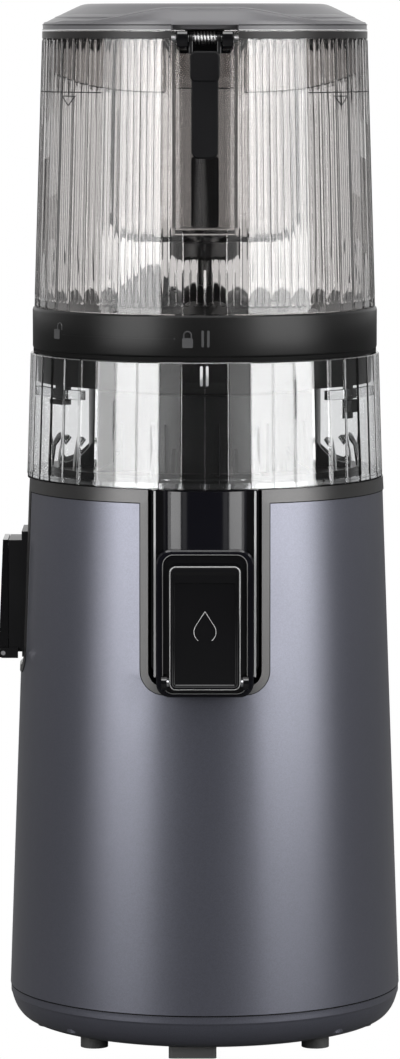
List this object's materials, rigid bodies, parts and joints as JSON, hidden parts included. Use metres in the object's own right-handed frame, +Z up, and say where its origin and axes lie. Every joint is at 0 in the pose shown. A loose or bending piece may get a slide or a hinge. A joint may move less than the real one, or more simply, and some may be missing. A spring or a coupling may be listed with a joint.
{
  "type": "cold press juicer",
  "caption": "Tall round slow juicer: tapered motor base, clear juice bowl with front and side spouts, black collar, smoky hopper with hinged lid and lever.",
  "frame": {"origin": "on the drive axis, in the plane of the feet, which is the middle of the base to within 3 mm", "axes": "+Z up along the drive axis, the front with the juice spout faces -Y, the pulp outlet faces -X"},
  "size_m": [0.1769, 0.1791, 0.452],
  "materials": {
    "body_satin": "satin blue-grey paint with fine metallic flake",
    "trim_satin": "satin grey",
    "collar_satin": "satin black",
    "black_plastic": "matt black moulding",
    "black_gloss": "gloss black",
    "lid_gloss": "gloss dark grey",
    "smoky_clear": "clear plastic with a warm smoky tint",
    "clear_bowl": "clear plastic",
    "silicone": "soft silicone",
    "rubber": "matt rubber",
    "bearing_steel": "ground steel",
    "lamination": "stacked steel sheet",
    "zinc_steel": "plain zinc-coated sheet",
    "cast_alloy": "as cast",
    "gear_nylon": "natural nylon",
    "board": "circuit board"
  },
  "bodies": {
    "base_unit": {"body_shell": "body_satin", "body_trim": "trim_satin", "chamber_seat": "black_plastic", "base_cover": "body_satin", "round_feet": "rubber", "front_foot": "rubber", "motor_housing": "zinc_steel", "stator": "lamination", "motor_bearings": "bearing_steel", "motor_end_plate": "cast_alloy", "gearbox_case": "cast_alloy", "gearbox_lid": "cast_alloy", "output_bearing": "bearing_steel", "shaft_seal": "rubber", "idler_pin": "bearing_steel", "gearbox_dampers": "rubber", "control_board": "board", "interlock_sensor": "black_plastic", "switch_housing": "black_plastic", "cord_gland": "rubber", "base_screws": "bearing_steel", "gearbox_screws": "bearing_steel"},
    "rotor": {"rotor": "lamination", "motor_shaft": "bearing_steel", "cooling_fan": "black_plastic", "motor_pinion": "bearing_steel"},
    "idler": {"idler_gear": "gear_nylon"},
    "output": {"output_gear": "gear_nylon", "drive_shaft": "bearing_steel"},
    "rocker": {"power_rocker": "black_gloss"},
    "chamber": {"juice_bowl": "clear_bowl", "spout_body": "black_gloss", "bowl_seal": "silicone", "strainer_outer": "black_plastic", "strainer_inner": "black_plastic", "pulp_spout": "black_plastic", "juice_cap_pin": "bearing_steel", "pulp_cap_pin": "bearing_steel"},
    "juice_cap": {"juice_cap": "black_gloss", "juice_cap_seal": "silicone"},
    "pulp_cap": {"pulp_cap": "black_gloss", "pulp_cap_seal": "silicone"},
    "auger": {"auger_lower": "black_plastic", "auger_upper": "black_plastic", "auger_core": "bearing_steel"},
    "hopper": {"hopper": "smoky_clear", "hopper_collar": "collar_satin", "feed_guide": "smoky_clear", "bearing_cap": "black_plastic", "bearing_ring": "black_plastic", "latch_pin": "bearing_steel", "latch_spring": "bearing_steel", "lid_hinge_pin": "bearing_steel"},
    "lid": {"lid": "lid_gloss", "lid_skirt": "smoky_clear", "lid_seal": "silicone"},
    "latch": {"latch_lever": "black_plastic"}
  },
  "joints": [
    {"name": "rotor_spin", "type": "hinge", "parent": "base_unit", "child": "rotor", "pos_m": [0, 0, 0.06], "axis": [0, 0, 1], "continuous": true},
    {"name": "idler_spin", "type": "hinge", "parent": "base_unit", "child": "idler", "pos_m": [0.036, 0, 0.105], "axis": [0, 0, 1], "continuous": true},
    {"name": "output_spin", "type": "hinge", "parent": "base_unit", "child": "output", "pos_m": [0, 0, 0.115], "axis": [0, 0, 1], "continuous": true},
    {"name": "auger_spin", "type": "hinge", "parent": "chamber", "child": "auger", "pos_m": [0, 0, 0.2], "axis": [0, 0, 1], "continuous": true},
    {"name": "rocker_tilt", "type": "hinge", "parent": "base_unit", "child": "rocker", "pos_m": [0, 0.07651, 0.078], "axis": [1, 0, 0], "range_deg": [-12, 12]},
    {"name": "chamber_lift", "type": "slide", "parent": "base_unit", "child": "chamber", "axis": [0, 0, 1], "range_m": [0, 0.1]},
    {"name": "juice_cap_hinge", "type": "hinge", "parent": "chamber", "child": "juice_cap", "pos_m": [0, -0.0885, 0.1645], "axis": [1, 0, 0], "range_deg": [0, 90]},
    {"name": "pulp_cap_hinge", "type": "hinge", "parent": "chamber", "child": "pulp_cap", "pos_m": [-0.0885, 0, 0.16835], "axis": [0, -1, 0], "range_deg": [0, 90]},
    {"name": "hopper_twist", "type": "hinge", "parent": "chamber", "child": "hopper", "pos_m": [0, 0, 0.31], "axis": [0, 0, 1], "range_deg": [0, 52]},
    {"name": "lid_hinge", "type": "hinge", "parent": "hopper", "child": "lid", "pos_m": [0, 0.0765, 0.438], "axis": [-1, 0, 0], "range_deg": [0, 100]},
    {"name": "latch_press", "type": "hinge", "parent": "hopper", "child": "latch", "pos_m": [0, -0.0655, 0.4372], "axis": [1, 0, 0], "range_deg": [0, 4.5], "stiffness_Nm_per_rad": 0.03}
  ],
  "couplings": [
    {"joint": "idler_spin", "follows": "rotor_spin", "ratio": -0.24138},
    {"joint": "output_spin", "follows": "rotor_spin", "ratio": 0.08046},
    {"joint": "auger_spin", "follows": "rotor_spin", "ratio": 0.08046}
  ]
}
